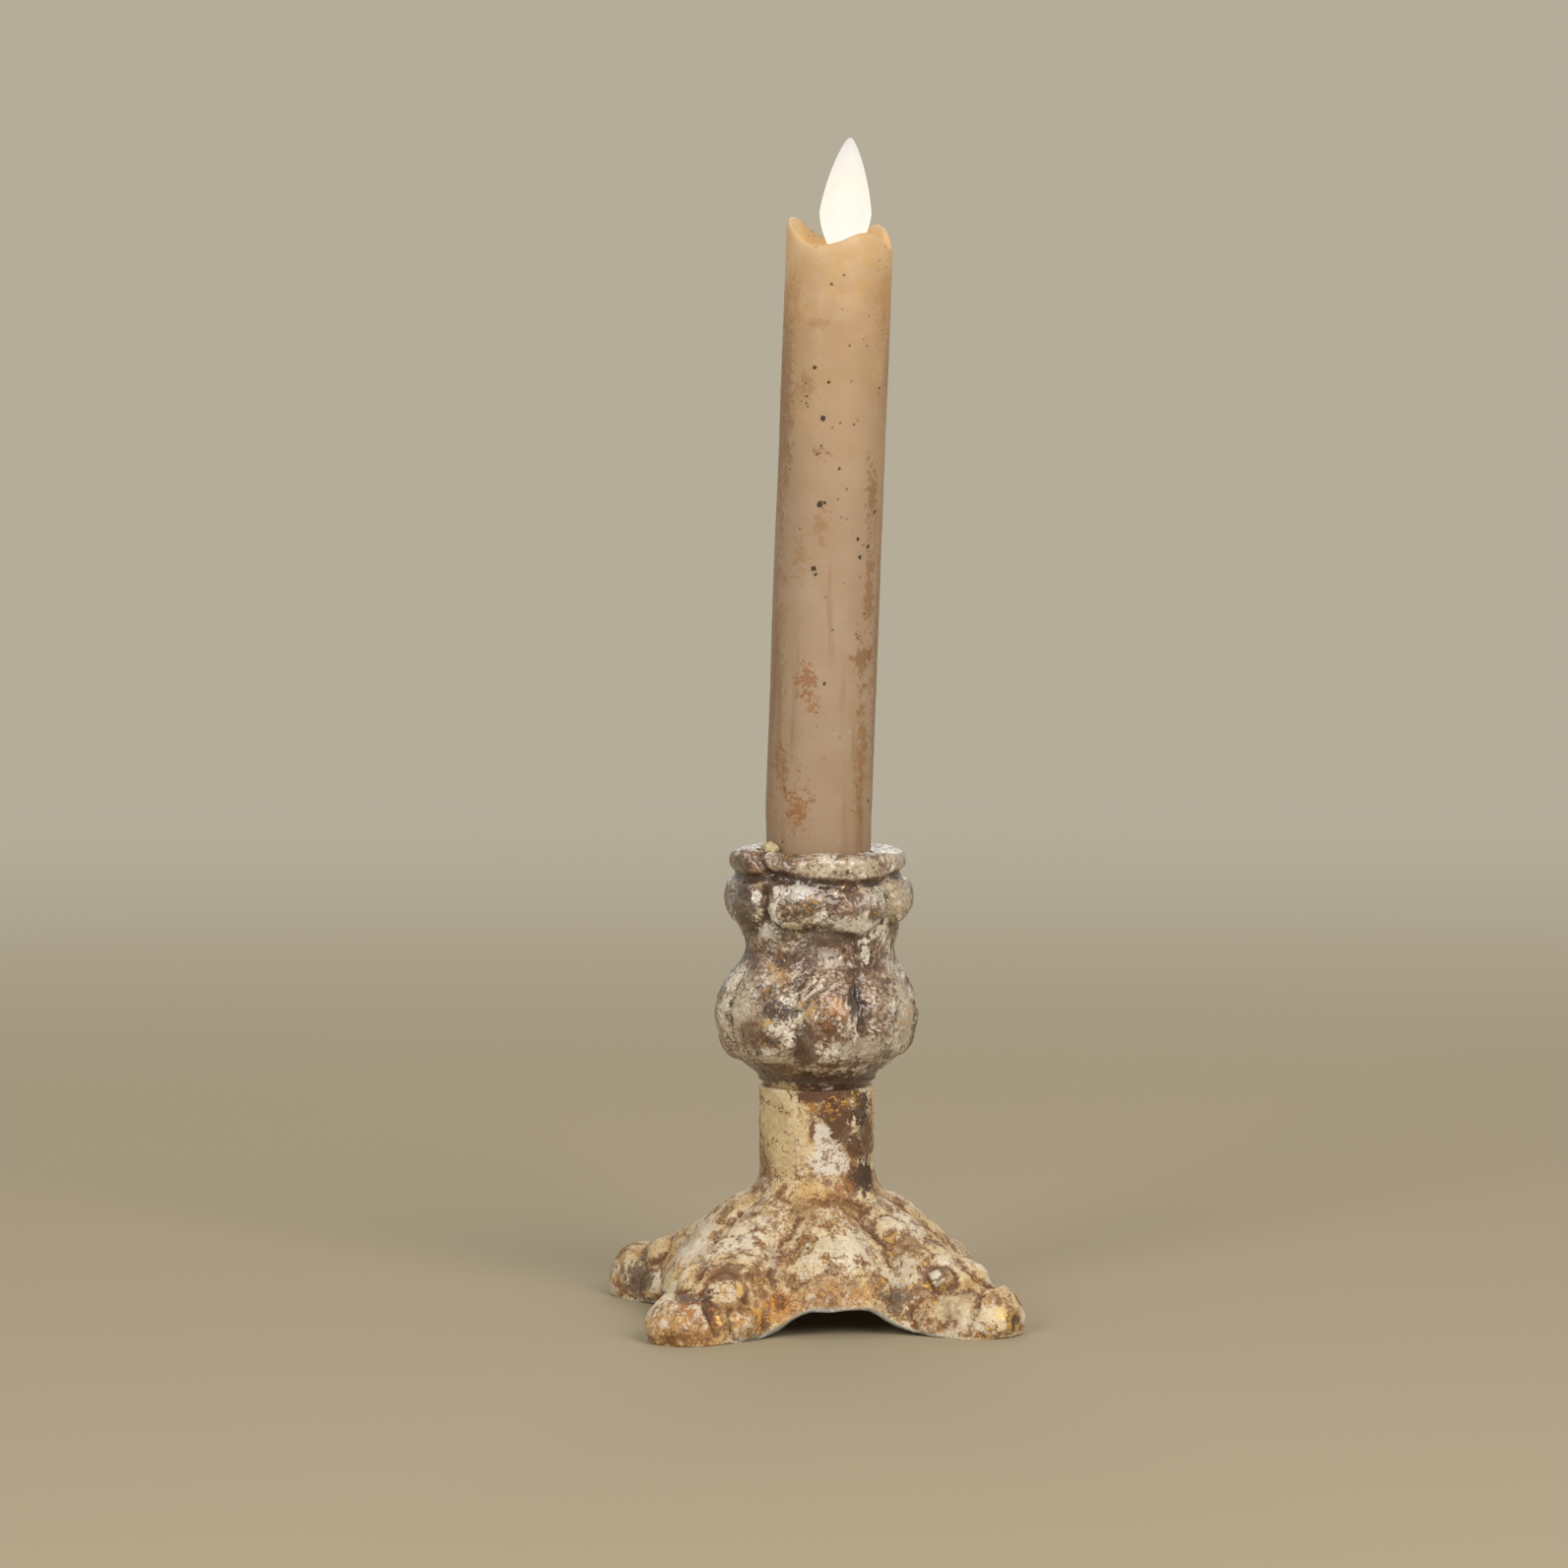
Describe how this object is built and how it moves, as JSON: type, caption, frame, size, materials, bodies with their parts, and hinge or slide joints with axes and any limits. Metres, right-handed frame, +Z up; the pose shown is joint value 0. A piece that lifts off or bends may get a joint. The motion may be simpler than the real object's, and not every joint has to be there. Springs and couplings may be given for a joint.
{
  "type": "taper candle holder",
  "caption": "Four-footed metal taper candle holder with an aged chalky finish, holding a leaning wax battery candle whose flame sways on a wire.",
  "frame": {"origin": "on the surface the feet stand on, under the axis of the stem", "axes": "+Z up along the stem, -Y towards the viewer, +X to the viewer's right; the feet lie on the diagonals"},
  "size_m": [0.0798, 0.0798, 0.2454],
  "materials": {
    "aged_steel": "chalky aged paint over rust",
    "aged_casting": "worn umber casting with chalk and gold",
    "zinc_steel": "zinc plated",
    "fixing_wax": "soft pale wax",
    "taupe_wax": "dipped wax, stained",
    "ivory_plastic": "moulded ivory plastic",
    "spring_wire": "bright drawn wire",
    "led_resin": "clear warm resin",
    "red_insulation": "insulated wire",
    "copper_winding": "enamelled copper wire",
    "circuit_board": "green laminate",
    "chip_epoxy": "moulded epoxy",
    "nickel_contact": "nickel plated strip",
    "cell_can": "sleeved cell",
    "flame_shell": "frosted translucent shell, lit",
    "magnet_plating": "nickel plated",
    "black_plastic": "moulded black plastic",
    "grey_plastic": "moulded grey plastic"
  },
  "bodies": {
    "holder": {"foot_base": "aged_steel", "stem_tube": "aged_steel", "socket_baluster": "aged_casting", "threaded_stud": "zinc_steel", "clamp_washer": "zinc_steel", "clamp_nut": "zinc_steel", "fixing_wax": "fixing_wax"},
    "candle": {"wax_shell": "taupe_wax", "core_tube": "ivory_plastic", "pivot_cup": "ivory_plastic", "pivot_wire": "spring_wire", "led": "led_resin", "lead_wires": "red_insulation", "coil_bobbin": "ivory_plastic", "coil_winding": "copper_winding", "circuit_board": "circuit_board", "control_chip": "chip_epoxy", "positive_contact": "nickel_contact", "battery_upper": "cell_can", "battery_lower": "cell_can", "negative_strip": "nickel_contact"},
    "flame_swing": {"flame": "flame_shell", "tail_magnet": "magnet_plating"},
    "cap": {"battery_cap": "ivory_plastic", "battery_spring": "spring_wire", "switch_body": "black_plastic"},
    "knob": {"switch_knob": "grey_plastic"}
  },
  "joints": [
    {"name": "candle_lift", "type": "slide", "parent": "holder", "child": "candle", "axis": [0.0366, 0, 0.9993], "range_m": [0, 0.03]},
    {"name": "flame_sway", "type": "hinge", "parent": "candle", "child": "flame_swing", "pos_m": [0.00515, 0, 0.21754], "axis": [0, 1, 0], "range_deg": [-7, 7]},
    {"name": "cap_twist", "type": "hinge", "parent": "candle", "child": "cap", "pos_m": [-0.00038, 0, 0.07765], "axis": [0.0366, 0, 0.9993], "range_deg": [0, 30]},
    {"name": "switch_slide", "type": "slide", "parent": "cap", "child": "knob", "axis": [0.9993, 0, -0.0366], "range_m": [0, 0.003]}
  ]
}
